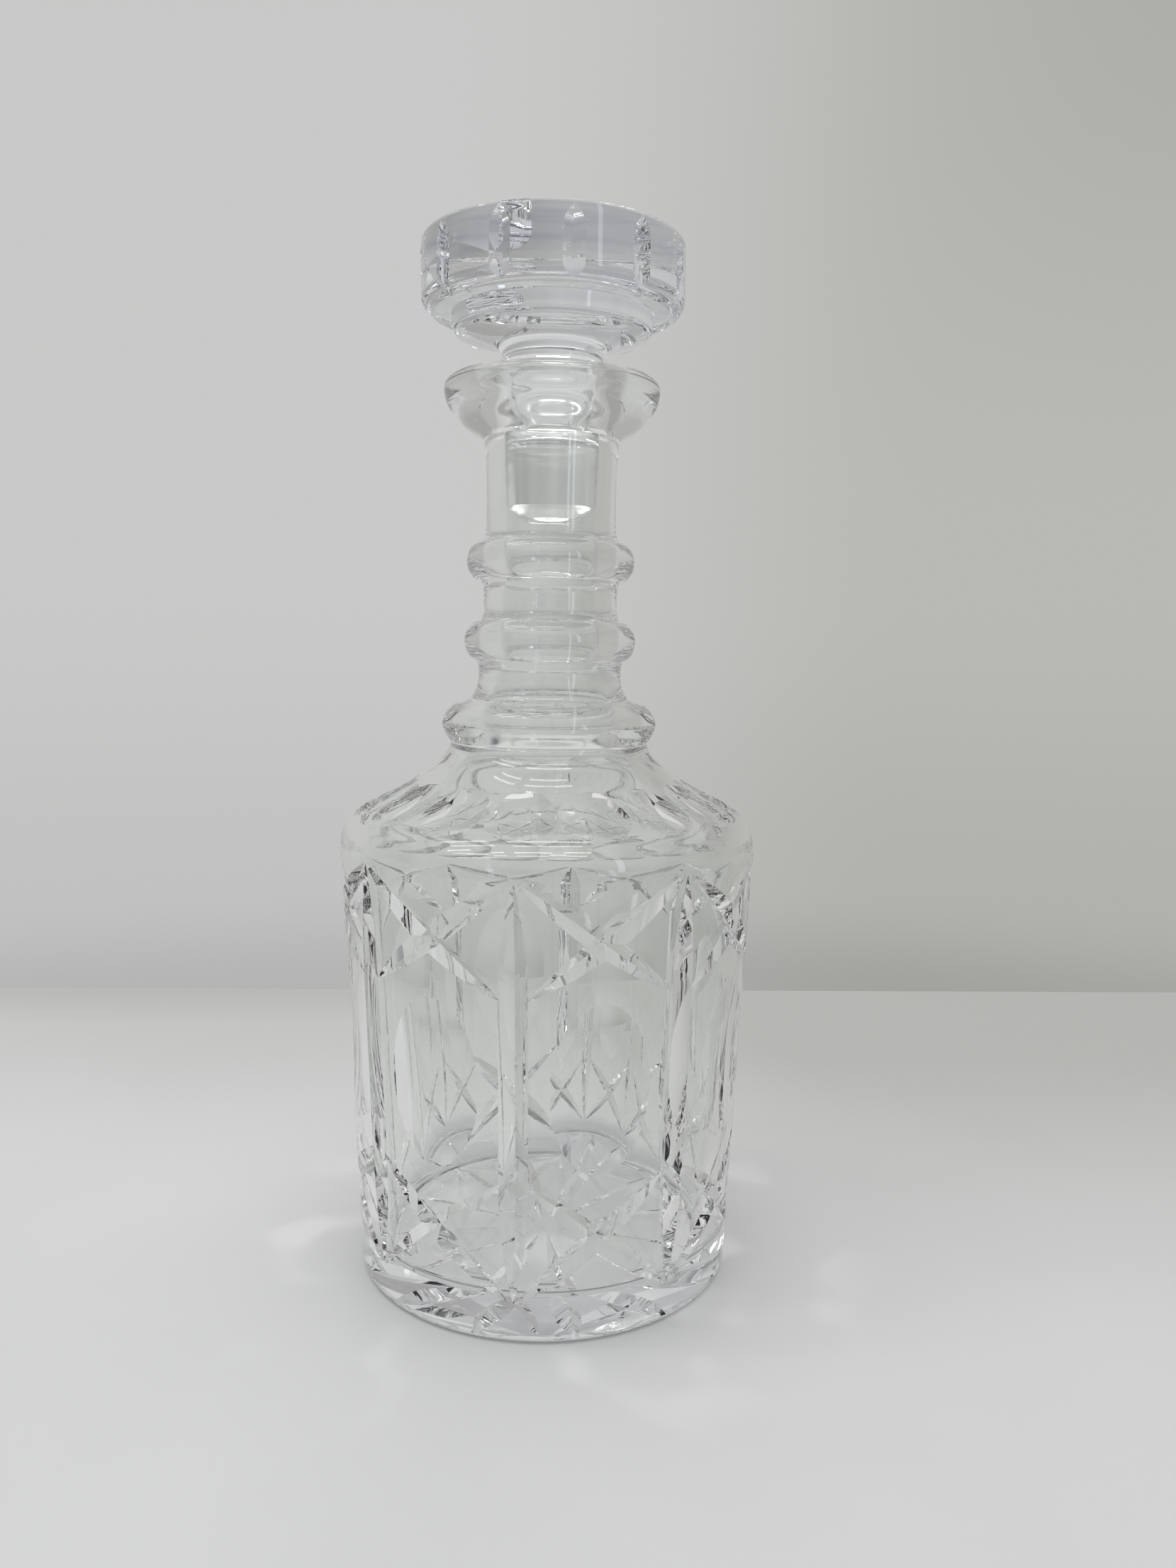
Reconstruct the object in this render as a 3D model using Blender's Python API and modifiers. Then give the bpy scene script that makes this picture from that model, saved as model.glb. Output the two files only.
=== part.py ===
"""A cut-crystal decanter: a heavy bottle with a ringed neck, and the solid disc stopper that plugs it.

Metres, +Z up. The origin is on the axis, at the middle of the foot's flat underside.
Sizes below are in millimetres, as on a glass cutter's drawing, and MM turns them into metres.
A turn round the axis is in degrees from the front (-Y) towards the right (+X).
"""

import math

import bmesh
import bpy
from mathutils import Matrix, Vector

MM = 0.001

# --- driving dimensions, millimetres and degrees ---
TURN_STEPS = 36           # flats round every turned piece
GAP = 0.3                 # air between the plug and its seat

FOOT_RADIUS = 50.3        # where the wall meets the rounded foot
FOOT_ROUND = 1.8
FOOT_HOLLOW_RADIUS = 45.5  # inside this the underside is ground back a little
FOOT_HOLLOW = 0.4
WALL_TOP_RADIUS = 55.4
WALL_TOP = 113.0
LIP_TOP = 235.6
LIP_RADIUS = 28.1

FLOOR = 8.5               # thickness of the solid base at the axis
CAVITY_FOOT_RADIUS = 44.4
CAVITY_TOP_RADIUS = 50.0
CAVITY_CORNER = 4.5

SEAT_BOTTOM = 198.0       # the ground seat that the plug fits
SEAT_BOTTOM_RADIUS = 11.6
SEAT_TOP_RADIUS = 13.2
MOUTH_CHAMFER = 0.5

STOPPER_TOP = 269.6
DISC_RADIUS = 34.0
DISC_BOTTOM = 252.1
BAND_RADIUS = 26.4
BAND_BOTTOM = 247.0
SHANK_RADIUS = 12.4
WAIST_RADIUS = 10.2       # the stopper is slimmer between the shank and the ground plug
PLUG_TOP = 221.6
PLUG_BOTTOM = 198.2

# --- the cutting pattern ---
PANELS = 8
PANEL = 360.0 / PANELS
FIRST_MITRE = -8.2        # turn of the upright mitre that faces the front
V_HALF_ANGLE = math.radians(53.0)
STONE_LIFT = 0.9          # how far a cutting stone stands proud of the glass it cuts

MITRE_LOW = 10.0
MITRE_HIGH = 114.6
MITRE_DEPTH = 2.8
ARM_DEPTH = 2.3           # of the arms that rise to the right; the others are a hair shallower
ARM_REACH = 19.5          # turn from a panel's middle to the free end of an arm
UPPER_CROSS_LOW = 85.7
LOWER_CROSS_HIGH = 41.0

OLIVE_HEIGHT = 63.8
OLIVE_DEPTH = 2.2
OLIVE_HALF_LENGTH = 21.2

OVALS = 16
OVAL_DEPTH = 1.5
OVAL_HALF_LENGTH = 9.9
OVAL_RADIUS = 44.2        # distance of an oval's middle from the axis
OVAL_HEIGHT = 127.45
SHOULDER_SLOPE = math.radians(28.0)

BASE_RAYS = 12
FIRST_BASE_RAY = 9.5
BASE_RAY_REACH = 47.0
BASE_RAY_DEPTH = 2.2

FLUTES = 12
FIRST_FLUTE = 8.0
FLUTE_DEPTH = 2.15
FLUTE_HIGH = 268.9        # a flute runs out just under the disc's upper edge


# --- outlines -------------------------------------------------------------------------------------

def arc(centre, radius, start, end, steps, height=None):
    """Points on a circle, or on an ellipse when its half height is given; degrees from +r to +z."""
    half_height = radius if height is None else height
    points = []
    for step in range(steps + 1):
        angle = math.radians(start + (end - start) * step / steps)
        points.append((centre[0] + radius * math.cos(angle), centre[1] + half_height * math.sin(angle)))
    return points


def curve(points, steps):
    """A smooth curve through the points, with this many steps between each two."""
    ends = [points[0]] + points + [points[-1]]
    result = []
    for before, start, end, after in zip(ends, ends[1:], ends[2:], ends[3:]):
        for step in range(steps):
            t = step / steps
            result.append(tuple(
                0.5 * (2 * b + (c - a) * t + (2 * a - 5 * b + 4 * c - d) * t ** 2
                       + (3 * b - a - 3 * c + d) * t ** 3)
                for a, b, c, d in zip(before, start, end, after)))
    return result + [points[-1]]


def cavity_outline():
    """The inside, from the middle of its floor up to the mouth."""
    corner_centre = (CAVITY_FOOT_RADIUS - CAVITY_CORNER, FLOOR + 0.4 + CAVITY_CORNER)
    floor = [(0.0, FLOOR), (22.0, FLOOR + 0.1)]
    corner = arc(corner_centre, CAVITY_CORNER, -90, 0, 3)
    shoulder = curve([(CAVITY_TOP_RADIUS, 111.0), (48.7, 117.4), (42.4, 121.8), (36.4, 125.0),
                      (28.6, 129.8), (23.4, 135.4), (19.6, 143.0)], 2)
    bore = [(16.0, 151.5), (13.9, 160.0), (12.8, 172.0), (12.6, 184.0)]
    seat = [(SEAT_BOTTOM_RADIUS, SEAT_BOTTOM),
            (SEAT_TOP_RADIUS, LIP_TOP - MOUTH_CHAMFER),
            (SEAT_TOP_RADIUS + MOUTH_CHAMFER, LIP_TOP)]
    return floor + corner + shoulder + bore + seat


def outside_outline():
    """The outside, from the flat lip down to the middle of the underside."""
    lip = [(LIP_RADIUS - 1.5, LIP_TOP)]
    lip += curve([(LIP_RADIUS - 0.3, LIP_TOP - 1.1), (LIP_RADIUS, LIP_TOP - 2.8), (25.8, 227.4),
                  (22.4, 223.6), (18.1, 221.2)], 2)
    neck = [(17.3, 215.4), (17.0, 204.5), (17.3, 197.1)]
    upper_ring = arc((18.1, 189.4), 4.05, 90, -90, 5, height=5.1)
    waist = [(17.7, 181.4), (17.7, 177.0)]
    lower_ring = arc((18.5, 168.6), 4.25, 90, -90, 5, height=5.3)
    collar = [(19.0, 160.4), (19.4, 156.8)]
    collar += curve([(21.2, 153.5), (26.0, 151.6), (28.6, 147.4), (26.9, 142.6)], 2)
    shoulder = curve([(26.4, 141.3), (28.3, 137.9), (34.5, 133.0), (46.5, 126.3), (50.6, 124.0),
                      (53.5, 121.3), (55.0, 118.1), (WALL_TOP_RADIUS, WALL_TOP)], 2)
    foot = arc((FOOT_RADIUS - FOOT_ROUND, FOOT_ROUND), FOOT_ROUND, 0, -90, 2)
    underside = [(FOOT_HOLLOW_RADIUS, 0.0), (FOOT_HOLLOW_RADIUS - 1.0, FOOT_HOLLOW), (0.0, FOOT_HOLLOW)]
    return lip + neck + upper_ring + waist + lower_ring + collar + shoulder + foot + underside


def plug_radius(height):
    """The plug follows the seat's taper, one gap inside it."""
    share = (height - SEAT_BOTTOM) / (LIP_TOP - SEAT_BOTTOM)
    return SEAT_BOTTOM_RADIUS + (SEAT_TOP_RADIUS - SEAT_BOTTOM_RADIUS) * share - GAP


def stopper_outline():
    """The stopper, from the middle of its flat top down to the middle of the plug's end."""
    rim = [(0.0, STOPPER_TOP), (DISC_RADIUS - 1.0, STOPPER_TOP)]
    rim += arc((DISC_RADIUS - 0.8, STOPPER_TOP - 1.2), 0.8, 60, 0, 2)
    belly = arc((DISC_RADIUS - 4.2, DISC_BOTTOM + 3.6), 4.2, 0, -90, 4, height=3.6)
    band = [(BAND_RADIUS, DISC_BOTTOM), (BAND_RADIUS - 0.6, BAND_BOTTOM + 1.6)]
    band += [(BAND_RADIUS - 2.2, BAND_BOTTOM), (15.4, 244.6)]
    shank = [(13.2, 243.0), (SHANK_RADIUS, 241.5), (SHANK_RADIUS, 238.0)]
    waist = [(12.0, 236.6), (10.9, 235.2), (WAIST_RADIUS, 231.0), (WAIST_RADIUS, 227.0)]
    waist += [(10.8, 224.4), (12.0, 222.5)]
    plug = [(plug_radius(PLUG_TOP), PLUG_TOP)]
    plug += [(plug_radius(PLUG_BOTTOM + 4.8), PLUG_BOTTOM + 4.8), (10.2, PLUG_BOTTOM + 3.4)]
    plug += [(7.8, PLUG_BOTTOM + 1.6), (3.2, PLUG_BOTTOM + 0.2), (0.0, PLUG_BOTTOM)]
    return rim + belly + band + shank + waist + plug


# --- making meshes --------------------------------------------------------------------------------

def clear_scene():
    for old in list(bpy.data.objects):
        bpy.data.objects.remove(old, do_unlink=True)


def new_collection(name):
    collection = bpy.data.collections.new(name)
    bpy.context.scene.collection.children.link(collection)
    return collection


def crystal(name, colour, roughness):
    material = bpy.data.materials.new(name)
    material.use_nodes = True
    shader = material.node_tree.nodes["Principled BSDF"]
    shader.inputs["Base Color"].default_value = (*colour, 1.0)
    shader.inputs["Roughness"].default_value = roughness
    shader.inputs["Metallic"].default_value = 0.0
    return material


def turned(name, outline, material, collection):
    """An outline at +X, turned once round the axis."""
    mesh = bpy.data.meshes.new(name)
    mesh.from_pydata([(r * MM, 0.0, z * MM) for r, z in outline],
                     [(n, n + 1) for n in range(len(outline) - 1)], [])
    piece = bpy.data.objects.new(name, mesh)
    collection.objects.link(piece)
    mesh.materials.append(material)
    screw = piece.modifiers.new("turn", 'SCREW')
    screw.axis = 'Z'
    screw.steps = TURN_STEPS
    screw.render_steps = TURN_STEPS
    screw.use_merge_vertices = True
    screw.merge_threshold = 0.00001
    screw.use_smooth_shade = True
    return piece


def cut(piece, cutter):
    """Cuts the glass with one set of stones; the stones of one set don't touch each other."""
    boolean = piece.modifiers.new(cutter.name, 'BOOLEAN')
    boolean.operation = 'DIFFERENCE'
    boolean.object = cutter


def stones(name, bm, collection):
    """Turns the finished stones of one set into a hidden cutter object."""
    bmesh.ops.triangulate(bm, faces=bm.faces)
    bmesh.ops.recalc_face_normals(bm, faces=bm.faces)
    mesh = bpy.data.meshes.new(name)
    bm.to_mesh(mesh)
    bm.free()
    cutter = bpy.data.objects.new(name, mesh)
    cutter.hide_render = True
    cutter.display_type = 'WIRE'
    collection.objects.link(cutter)
    return cutter


# --- where the stones go --------------------------------------------------------------------------

def outward(turn):
    angle = math.radians(turn)
    return Vector((math.sin(angle), -math.cos(angle), 0.0))


def on_wall(turn, height):
    """A point on the tapered wall and the way the glass faces there."""
    slope = (WALL_TOP_RADIUS - FOOT_RADIUS) / (WALL_TOP - FOOT_ROUND)
    radius = FOOT_RADIUS + slope * (height - FOOT_ROUND)
    out = outward(turn)
    point = out * radius + Vector((0.0, 0.0, height))
    facing = (out - Vector((0.0, 0.0, slope))).normalized()
    return point, facing


def wheel_depth(share, depth, run):
    """A wheel's depth along its cut: it enters and leaves over the run, as a share of the length."""
    edge = min(share, 1.0 - share)
    if edge >= run:
        return depth
    return depth * (1.0 - ((run - edge) / run) ** 2)


def v_groove(bm, place, depth_at, shares):
    """A V-edged wheel swept along a path. place(share) gives a point and the way the glass faces."""
    sections = []
    for share in shares:
        point, facing = place(share)
        ahead = (place(share + 0.01)[0] - place(share - 0.01)[0]).normalized()
        across = ahead.cross(facing).normalized()
        depth = depth_at(share)
        half = (depth + STONE_LIFT) * math.tan(V_HALF_ANGLE)
        proud = point + facing * STONE_LIFT
        corners = [point - facing * depth, proud - across * half, proud + across * half]
        sections.append([bm.verts.new(corner * MM) for corner in corners])
    for first, second in zip(sections, sections[1:]):
        for n in range(3):
            bm.faces.new([first[n], first[(n + 1) % 3], second[(n + 1) % 3], second[n]])
    bm.faces.new(sections[0])
    bm.faces.new(sections[-1])


def round_dish(bm, point, facing, depth, half_length, rings, spokes):
    """A round-faced stone pressed into the glass: it leaves an oval hollow on a curved wall."""
    radius = (half_length ** 2 + depth ** 2) / (2 * depth)
    reach = half_length * 1.02
    outline = [(0.0, STONE_LIFT), (reach, STONE_LIFT)]
    for ring in range(rings + 1):
        out = reach * (rings - ring) / rings
        outline.append((out, radius - depth - math.sqrt(radius ** 2 - out ** 2)))
    dish = bmesh.new()
    corners = [dish.verts.new((r, 0.0, z)) for r, z in outline]
    edges = [dish.edges.new(pair) for pair in zip(corners, corners[1:])]
    bmesh.ops.spin(dish, geom=corners + edges, cent=(0, 0, 0), axis=(0, 0, 1),
                   angle=math.tau, steps=spokes, use_merge=True)
    bmesh.ops.remove_doubles(dish, verts=dish.verts, dist=0.0001)
    place = facing.to_track_quat('Z', 'Y').to_matrix().to_4x4()
    place.translation = point
    dish.transform(Matrix.Scale(MM, 4) @ place)
    mesh = bpy.data.meshes.new("dish")
    dish.to_mesh(mesh)
    dish.free()
    bm.from_mesh(mesh)
    bpy.data.meshes.remove(mesh)


def evenly(count, first=0.0, last=1.0):
    return [first + (last - first) * n / (count - 1) for n in range(count)]


def upright_mitres(collection):
    """The eight long upright grooves that divide the wall into panels."""
    bm = bmesh.new()
    run = 0.28
    entry = evenly(4, -0.01, run)
    shares = entry + [1.0 - share for share in reversed(entry)]
    for panel in range(PANELS):
        turn = FIRST_MITRE + PANEL * panel
        v_groove(bm, lambda share: on_wall(turn, MITRE_LOW + (MITRE_HIGH - MITRE_LOW) * share),
                 lambda share: wheel_depth(share, MITRE_DEPTH, run), shares)
    return stones("upright_mitre_stones", bm, collection)


def crossed_arms(name, rising, collection):
    """One arm of both crosses in every panel: either all that rise to the right, or all that fall."""
    bm = bmesh.new()
    side = 1.0 if rising else -1.0
    depth = ARM_DEPTH if rising else ARM_DEPTH - 0.1
    shares = evenly(8 if rising else 7, -0.01, 1.01)
    half_panel = PANEL / 2
    for panel in range(PANELS):
        middle = FIRST_MITRE + half_panel + PANEL * panel
        upper = ((-ARM_REACH, UPPER_CROSS_LOW), (half_panel, MITRE_HIGH))
        lower = ((-half_panel, MITRE_LOW), (ARM_REACH, LOWER_CROSS_HIGH))
        for (turn_a, height_a), (turn_b, height_b) in (upper, lower):
            v_groove(bm,
                     lambda share: on_wall(middle + side * (turn_a + (turn_b - turn_a) * share),
                                           height_a + (height_b - height_a) * share),
                     lambda share: wheel_depth(share, depth, 0.5), shares)
    return stones(name, bm, collection)


def olives(collection):
    """The tall oval hollow in the middle of each panel."""
    bm = bmesh.new()
    for panel in range(PANELS):
        point, facing = on_wall(FIRST_MITRE + PANEL * (panel + 0.5), OLIVE_HEIGHT)
        round_dish(bm, point, facing, OLIVE_DEPTH, OLIVE_HALF_LENGTH, 3, 18)
    return stones("olive_stones", bm, collection)


def shoulder_ovals(name, first, collection):
    """Every second oval of the ring on the shoulder. Neighbours overlap, so each half is one set."""
    bm = bmesh.new()
    for oval in range(first, OVALS, 2):
        out = outward(FIRST_MITRE + 360.0 / OVALS * oval)
        point = out * OVAL_RADIUS + Vector((0.0, 0.0, OVAL_HEIGHT))
        facing = out * math.sin(SHOULDER_SLOPE) + Vector((0.0, 0.0, math.cos(SHOULDER_SLOPE)))
        round_dish(bm, point, facing, OVAL_DEPTH, OVAL_HALF_LENGTH, 2, 16)
    return stones(name, bm, collection)


def base_star(collection):
    """Rays cut into the underside, deepest towards the rim and fading out at both ends."""
    bm = bmesh.new()
    down = Vector((0.0, 0.0, -1.0))
    inner = 8.0
    for ray in range(BASE_RAYS):
        out = outward(FIRST_BASE_RAY + 360.0 / BASE_RAYS * ray)
        v_groove(bm,
                 lambda share: (out * (inner + (BASE_RAY_REACH - inner) * share)
                                + Vector((0.0, 0.0, FOOT_HOLLOW)), down),
                 lambda share: BASE_RAY_DEPTH * min(share / 0.65, (1.0 - share) / 0.35),
                 [-0.02, 0.65, 1.01])
    return stones("base_star_stones", bm, collection)


def disc_flutes(collection):
    """Upright V flutes round the stopper's disc; they run out through the belly."""
    bm = bmesh.new()
    low = DISC_BOTTOM - 2.0
    rise = FLUTE_HIGH - low
    for flute in range(FLUTES):
        out = outward(FIRST_FLUTE + 360.0 / FLUTES * flute)
        v_groove(bm,
                 lambda share: (out * DISC_RADIUS + Vector((0.0, 0.0, low + rise * share)), out),
                 lambda share: FLUTE_DEPTH * (1.0 - max(0.0, share - 0.7) ** 2 / 0.09),
                 [0.0, 0.7, 0.8, 0.9, 1.0])
    return stones("disc_flute_stones", bm, collection)


def build():
    clear_scene()
    decanter = new_collection("cut_crystal_decanter")
    cutters = new_collection("cutting_stones")

    bottle_glass = crystal("bottle_crystal", (0.80, 0.85, 0.83), 0.03)
    bottle = turned("decanter_bottle", cavity_outline() + outside_outline(), bottle_glass, decanter)
    cut(bottle, shoulder_ovals("even_oval_stones", 0, cutters))
    cut(bottle, shoulder_ovals("odd_oval_stones", 1, cutters))
    cut(bottle, olives(cutters))
    cut(bottle, upright_mitres(cutters))
    cut(bottle, crossed_arms("rising_arm_stones", True, cutters))
    cut(bottle, crossed_arms("falling_arm_stones", False, cutters))
    cut(bottle, base_star(cutters))

    stopper_glass = crystal("stopper_crystal", (0.84, 0.88, 0.87), 0.03)
    stopper = turned("stopper", stopper_outline(), stopper_glass, decanter)
    cut(stopper, disc_flutes(cutters))


build()
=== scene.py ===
# %% [markdown]
# # A cut-crystal decanter
#
# The real object is two pieces of lead crystal: a heavy bottle and a solid stopper that lifts out of
# its neck. The glass has almost no colour of its own. Everything that the eye reads as "crystal" is
# shape: a thick wall, a smooth hollow inside it, and hard-edged cuts that bend the light. So this
# lesson spends its effort on fine, closed meshes and on a room worth refracting, and keeps the
# glass itself simple.
#
# The frame comes first. It brings in the imported solids, and its box is kept.

# %% Load the frame
import math

import bmesh
import bpy
import numpy as np
from mathutils import Matrix, Vector, noise


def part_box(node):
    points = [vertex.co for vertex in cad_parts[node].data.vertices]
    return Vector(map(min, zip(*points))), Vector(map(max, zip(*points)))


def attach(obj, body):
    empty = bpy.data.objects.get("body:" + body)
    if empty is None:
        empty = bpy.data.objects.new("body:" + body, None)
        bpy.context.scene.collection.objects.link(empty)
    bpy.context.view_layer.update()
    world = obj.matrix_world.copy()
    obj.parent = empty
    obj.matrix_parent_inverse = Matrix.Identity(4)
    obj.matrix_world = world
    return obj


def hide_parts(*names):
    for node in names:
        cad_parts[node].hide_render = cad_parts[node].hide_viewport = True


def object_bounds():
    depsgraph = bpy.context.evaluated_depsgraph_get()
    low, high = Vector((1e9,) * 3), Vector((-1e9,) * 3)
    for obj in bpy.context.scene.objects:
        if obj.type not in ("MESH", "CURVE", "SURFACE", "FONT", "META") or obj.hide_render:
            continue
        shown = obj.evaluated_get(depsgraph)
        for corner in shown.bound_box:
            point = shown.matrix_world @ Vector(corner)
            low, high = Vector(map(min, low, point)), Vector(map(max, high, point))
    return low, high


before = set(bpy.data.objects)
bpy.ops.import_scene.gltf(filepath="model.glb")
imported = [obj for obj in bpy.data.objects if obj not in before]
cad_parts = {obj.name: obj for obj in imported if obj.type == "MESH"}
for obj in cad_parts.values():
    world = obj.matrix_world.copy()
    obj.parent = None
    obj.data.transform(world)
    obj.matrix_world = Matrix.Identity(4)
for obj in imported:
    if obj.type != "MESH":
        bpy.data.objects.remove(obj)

cad_box = [list(corner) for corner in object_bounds()]
MM = 0.001
height_mm = round((cad_box[1][2] - cad_box[0][2]) / MM, 1)
print("frame holds", sorted(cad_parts), "and is", height_mm, "mm tall")

# %% [markdown]
# ## The camera
#
# A phone on a low support, a hand's length from the glass: it looks down by a few degrees and is
# turned and tilted by a degree or two, as a hand-held picture is. Its place is written as a
# photographer would say it, and the camera's own axes are worked out from that. A helper from
# Blender, such as a Track To constraint, would aim at a point but leave the small tilt out.

# %% Place the camera
CAMERA_DISTANCE = 0.3174
CAMERA_HEIGHT = 0.1661
LENS = 27.05
PITCH_DOWN = math.radians(6.41)
TURN_RIGHT = math.radians(1.93)
ROLL = math.radians(0.79)


def camera_axes(turn, pitch, roll):
    """The camera's right, up and backward directions, as the columns of a matrix."""
    level = Vector((math.sin(turn), math.cos(turn), 0.0))
    right = Vector((math.cos(turn), -math.sin(turn), 0.0))
    ahead = level * math.cos(pitch) - Vector((0.0, 0.0, math.sin(pitch)))
    up = right.cross(ahead)
    rolled_right = right * math.cos(roll) + up * math.sin(roll)
    rolled_up = up * math.cos(roll) - right * math.sin(roll)
    return Matrix((rolled_right, rolled_up, -ahead)).transposed()


lens = bpy.data.cameras.new("phone_camera")
lens.lens = LENS
lens.sensor_width = 36.0
camera = bpy.data.objects.new("phone_camera", lens)
bpy.context.scene.collection.objects.link(camera)
camera.matrix_world = Matrix.Translation((0.0, -CAMERA_DISTANCE, CAMERA_HEIGHT)) \
    @ camera_axes(TURN_RIGHT, PITCH_DOWN, ROLL).to_4x4()
bpy.context.scene.camera = camera
print("camera", round(LENS, 1), "mm lens,", round(CAMERA_DISTANCE / MM), "mm in front of the axis")

# %% [markdown]
# ## Shader maths in plain Python
#
# A node tree is easier to read as an expression. This class wraps one output socket. Adding or
# multiplying two of them adds a Math node, and `node` adds any other node: its settings are set
# first, then its sockets, by value or by wire.

# %% A wire that can be calculated with


class Wire:
    """One output socket in a node tree."""

    def __init__(self, tree, socket=None):
        self.tree = tree
        self.socket = socket

    def node(self, kind, settings=None, inputs=None, output=0):
        made = self.tree.nodes.new(kind)
        for name, value in (settings or {}).items():
            if name == "stops":
                made.color_ramp.elements.remove(made.color_ramp.elements[1])
                for count, (place, colour) in enumerate(value):
                    stop = made.color_ramp.elements[0] if count == 0 else made.color_ramp.elements.new(place)
                    stop.position = place
                    stop.color = colour
            else:
                setattr(made, name, value)
        for name, value in (inputs or {}).items():
            if isinstance(value, Wire):
                self.tree.links.new(value.socket, made.inputs[name])
            else:
                made.inputs[name].default_value = value
        return Wire(self.tree, made.outputs[output])

    def pick(self, output):
        """Another output of the node this wire comes from."""
        return Wire(self.tree, self.socket.node.outputs[output])

    def maths(self, operation, first, second):
        return self.node("ShaderNodeMath", {"operation": operation}, {0: first, 1: second})

    def __add__(self, other):
        return self.maths('ADD', self, other)

    def __sub__(self, other):
        return self.maths('SUBTRACT', self, other)

    def __rsub__(self, other):
        return self.maths('SUBTRACT', other, self)

    def __mul__(self, other):
        return self.maths('MULTIPLY', self, other)

    __radd__ = __add__
    __rmul__ = __mul__

    def ease(self, start, end):
        """0 up to start, 1 from end on, with a soft step between. start may be the larger."""
        return self.node("ShaderNodeMapRange", {"interpolation_type": 'SMOOTHSTEP'},
                         {"Value": self, "From Min": start, "From Max": end})

    def noise(self, scale, detail):
        """Soft noise over the place that this wire holds, from 0 to 1."""
        return self.node("ShaderNodeTexNoise", inputs={"Vector": self, "Scale": scale, "Detail": detail})

    def times(self, factors):
        """This vector, multiplied axis by axis."""
        return self.node("ShaderNodeVectorMath", {"operation": 'MULTIPLY'}, {0: self, 1: factors})

    def along(self, axis):
        """One axis of this vector."""
        return self.node("ShaderNodeSeparateXYZ", inputs={0: self}, output=axis)

    def blend(self, low, high):
        """A colour: low where this wire is 0, high where it is 1."""
        return self.node("ShaderNodeMix", {"data_type": 'RGBA'}, {0: self, 6: low, 7: high}, output=2)


def from_axis(place):
    """The distance from the object's axis."""
    level = place.times((1.0, 1.0, 0.0))
    return level.node("ShaderNodeVectorMath", {"operation": 'LENGTH'}, {0: level}, output="Value")


# %% [markdown]
# ## The room that the glass shows
#
# Clear glass is a picture of its room, turned upside down and squeezed. A plain white world would
# leave it invisible, and a busy one would hide the cuts. The real room is a pale corner with a
# light wall behind, a white ceiling with fluorescent tubes, a tall window slit far to the right,
# and a darker, slightly blue half behind the photographer. The world shader paints that by
# direction only, so it is the same from every side of the object.

# %% Paint the room
WALL = 0.585
WALL_LEFT = (0.99, 1.0, 0.985, 1.0)
WALL_RIGHT = (1.0, 1.0, 0.955, 1.0)
ROOM_DARK = (0.16, 0.17, 0.20, 1.0)
ROOM_LIGHT = (0.50, 0.50, 0.49, 1.0)
CEILING = (0.72, 0.72, 0.71, 1.0)
WINDOW = (2.6, 2.9, 3.1, 1.0)


def soft_room():
    world = bpy.data.worlds.new("soft_room")
    world.use_nodes = True
    graph = Wire(world.node_tree)
    way = graph.node("ShaderNodeTexCoord", output="Generated")
    east = way.along("X")
    north = east.pick("Y")
    up = east.pick("Z")

    wall = WALL - 0.10 * east.ease(-0.08, 0.30) - 0.07 * up.ease(0.1, 0.5) * east.ease(0.1, 0.45)
    wall = wall - 0.045 * up.ease(0.05, -0.20) - 0.08 * up.ease(-0.19, -0.275)
    wall_colour = graph.node("ShaderNodeVectorMath", {"operation": 'SCALE'},
                             {0: east.ease(-0.1, 0.3).blend(WALL_LEFT, WALL_RIGHT), "Scale": wall})

    room = way.noise(1.9, 1.0).ease(0.40, 0.60).blend(ROOM_DARK, ROOM_LIGHT)
    behind = north.ease(0.35, 0.05)
    colour = behind.blend(wall_colour, room)
    colour = up.ease(0.50, 0.62).blend(colour, CEILING)

    bearing = graph.maths('ARCTAN2', east, 0.0 - north)
    slit = bearing.ease(0.64, 0.65) * bearing.ease(0.72, 0.71) * up.ease(-0.10, -0.05) * up.ease(0.55, 0.5)
    colour = slit.blend(colour, WINDOW)

    background = world.node_tree.nodes["Background"]
    world.node_tree.links.new(colour.socket, background.inputs["Color"])
    background.inputs["Strength"].default_value = 1.0
    bpy.context.scene.world = world
    print("room has", len(world.node_tree.nodes), "nodes")


soft_room()

# %% [markdown]
# ## Tube lights
#
# Two pairs of fluorescent tubes run left to right over the table, one pair overhead and one
# further left. They give the shoulder its twin white lines. Long thin area lights make the same
# lines, and their low power leaves the soft light of the room in charge.

# %% Hang the tubes
TUBE_HEIGHT = 1.45
TUBE_WIDTH = 0.085
TUBE_POWER = 1.5


def tube(name, middle_x, middle_y, length):
    light = bpy.data.lights.new(name, 'AREA')
    light.shape = 'RECTANGLE'
    light.size = length
    light.size_y = TUBE_WIDTH
    light.energy = TUBE_POWER * length
    light.color = (1.0, 0.99, 0.97)
    holder = bpy.data.objects.new(name, light)
    holder.location = (middle_x, middle_y, TUBE_HEIGHT)
    bpy.context.scene.collection.objects.link(holder)


for row, tube_y in enumerate((-0.10, -0.40)):
    tube(f"overhead_tube_{row}", 0.0, tube_y, 0.62)
    tube(f"left_tube_{row}", -0.78, tube_y + 0.05, 0.60)
print("tubes hang", TUBE_HEIGHT, "m up")
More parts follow.
